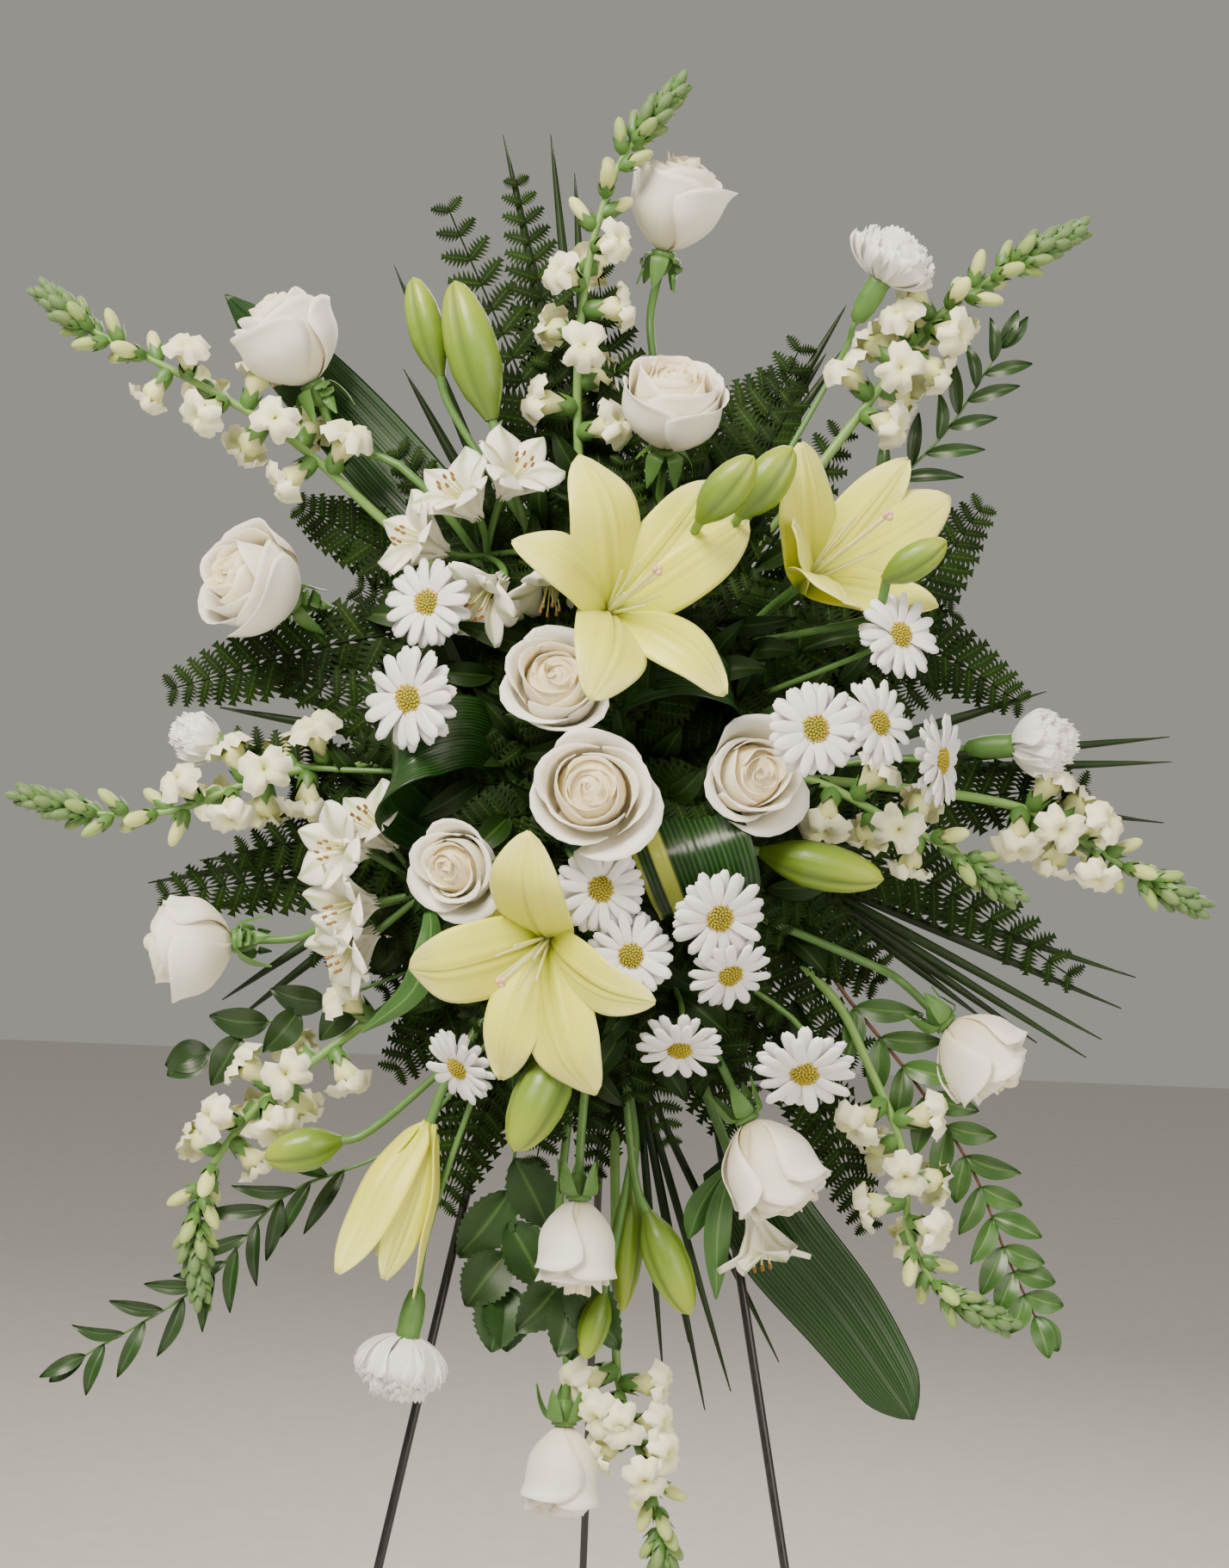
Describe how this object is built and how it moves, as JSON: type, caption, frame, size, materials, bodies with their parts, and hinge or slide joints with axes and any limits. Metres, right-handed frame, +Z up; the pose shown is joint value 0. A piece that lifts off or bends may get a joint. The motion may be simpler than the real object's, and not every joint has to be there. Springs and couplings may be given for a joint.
{
  "type": "standing funeral flower spray",
  "caption": "Oval spray of white roses, lemon lilies, daisies, snapdragons and greenery in a tray of floral foam on a folding wire easel.",
  "frame": {"origin": "on the floor, under the middle of the whole arrangement's box", "axes": "+Z up from the floor, +Y towards the back leg, so that the flowers face -Y"},
  "size_m": [0.781, 0.6048, 1.6619],
  "materials": {
    "black_wire": "black painted steel wire, satin",
    "tray_plastic": "dark green moulded plastic, matt",
    "floral_foam": "wet green floral foam",
    "green_stems": "living green stems, calyces and lily buds, smooth",
    "snapdragon_white": "white florets and pale green buds, velvety",
    "lily_lemon": "pale lemon tepals, waxy",
    "rose_ivory": "ivory petals, velvety",
    "carnation_white": "white fringed petals, soft",
    "daisy_white": "white ray petals and golden discs",
    "alstroemeria_white": "white tepals with green marks",
    "aspidistra_green": "dark green leaf, waxy gloss",
    "leaf_green": "green leaves, half gloss",
    "fern_green": "dark green fern, half gloss",
    "palm_green": "dark green narrow leaf blades, half gloss"
  },
  "bodies": {
    "stand": {"alstroemeria_bottom": "alstroemeria_white", "alstroemeria_left": "alstroemeria_white", "alstroemeria_upper_left": "alstroemeria_white", "aspidistra_leaves": "aspidistra_green", "aspidistra_loops": "aspidistra_green", "carnation_left": "carnation_white", "carnation_lower_left": "carnation_white", "carnation_right": "carnation_white", "carnation_upper_right": "carnation_white", "daisies_centre": "daisy_white", "daisies_centre_right": "daisy_white", "daisies_right": "daisy_white", "daisy_far_right": "daisy_white", "daisy_left": "daisy_white", "daisy_left_high": "daisy_white", "daisy_lower": "daisy_white", "daisy_lower_left": "daisy_white", "daisy_lower_right": "daisy_white", "daisy_right_high": "daisy_white", "easel_hanger_bar": "black_wire", "easel_hinge_bar": "black_wire", "easel_left_leg": "black_wire", "easel_lower_bar": "black_wire", "easel_right_leg": "black_wire", "fern_fronds": "fern_green", "floral_foam": "floral_foam", "foam_tray": "tray_plastic", "leafy_sprays": "leaf_green", "lily_half_open": "lily_lemon", "lily_lower": "lily_lemon", "lily_right": "lily_lemon", "lily_upper": "lily_lemon", "palm_blades": "palm_green", "rose_bottom": "rose_ivory", "rose_centre": "rose_ivory", "rose_centre_high": "rose_ivory", "rose_centre_left": "rose_ivory", "rose_centre_right": "rose_ivory", "rose_left_high": "rose_ivory", "rose_left_low": "rose_ivory", "rose_lower": "rose_ivory", "rose_lower_right": "rose_ivory", "rose_right_low": "rose_ivory", "rose_top": "rose_ivory", "rose_upper": "rose_ivory", "rose_upper_left": "rose_ivory", "snapdragon_bottom": "snapdragon_white", "snapdragon_centre_right": "snapdragon_white", "snapdragon_left": "snapdragon_white", "snapdragon_lower_left": "snapdragon_white", "snapdragon_lower_right": "snapdragon_white", "snapdragon_right": "snapdragon_white", "snapdragon_top": "snapdragon_white", "snapdragon_upper_left": "snapdragon_white", "snapdragon_upper_right": "snapdragon_white", "stems_left": "green_stems", "stems_lower": "green_stems", "stems_right": "green_stems", "stems_upper": "green_stems"},
    "back_leg": {"easel_back_leg": "black_wire"}
  },
  "joints": [
    {"name": "back_leg_hinge", "type": "hinge", "parent": "stand", "child": "back_leg", "pos_m": [-0.00004, -0.03824, 1.31], "axis": [1, 0, 0], "range_deg": [-20, 0]}
  ]
}
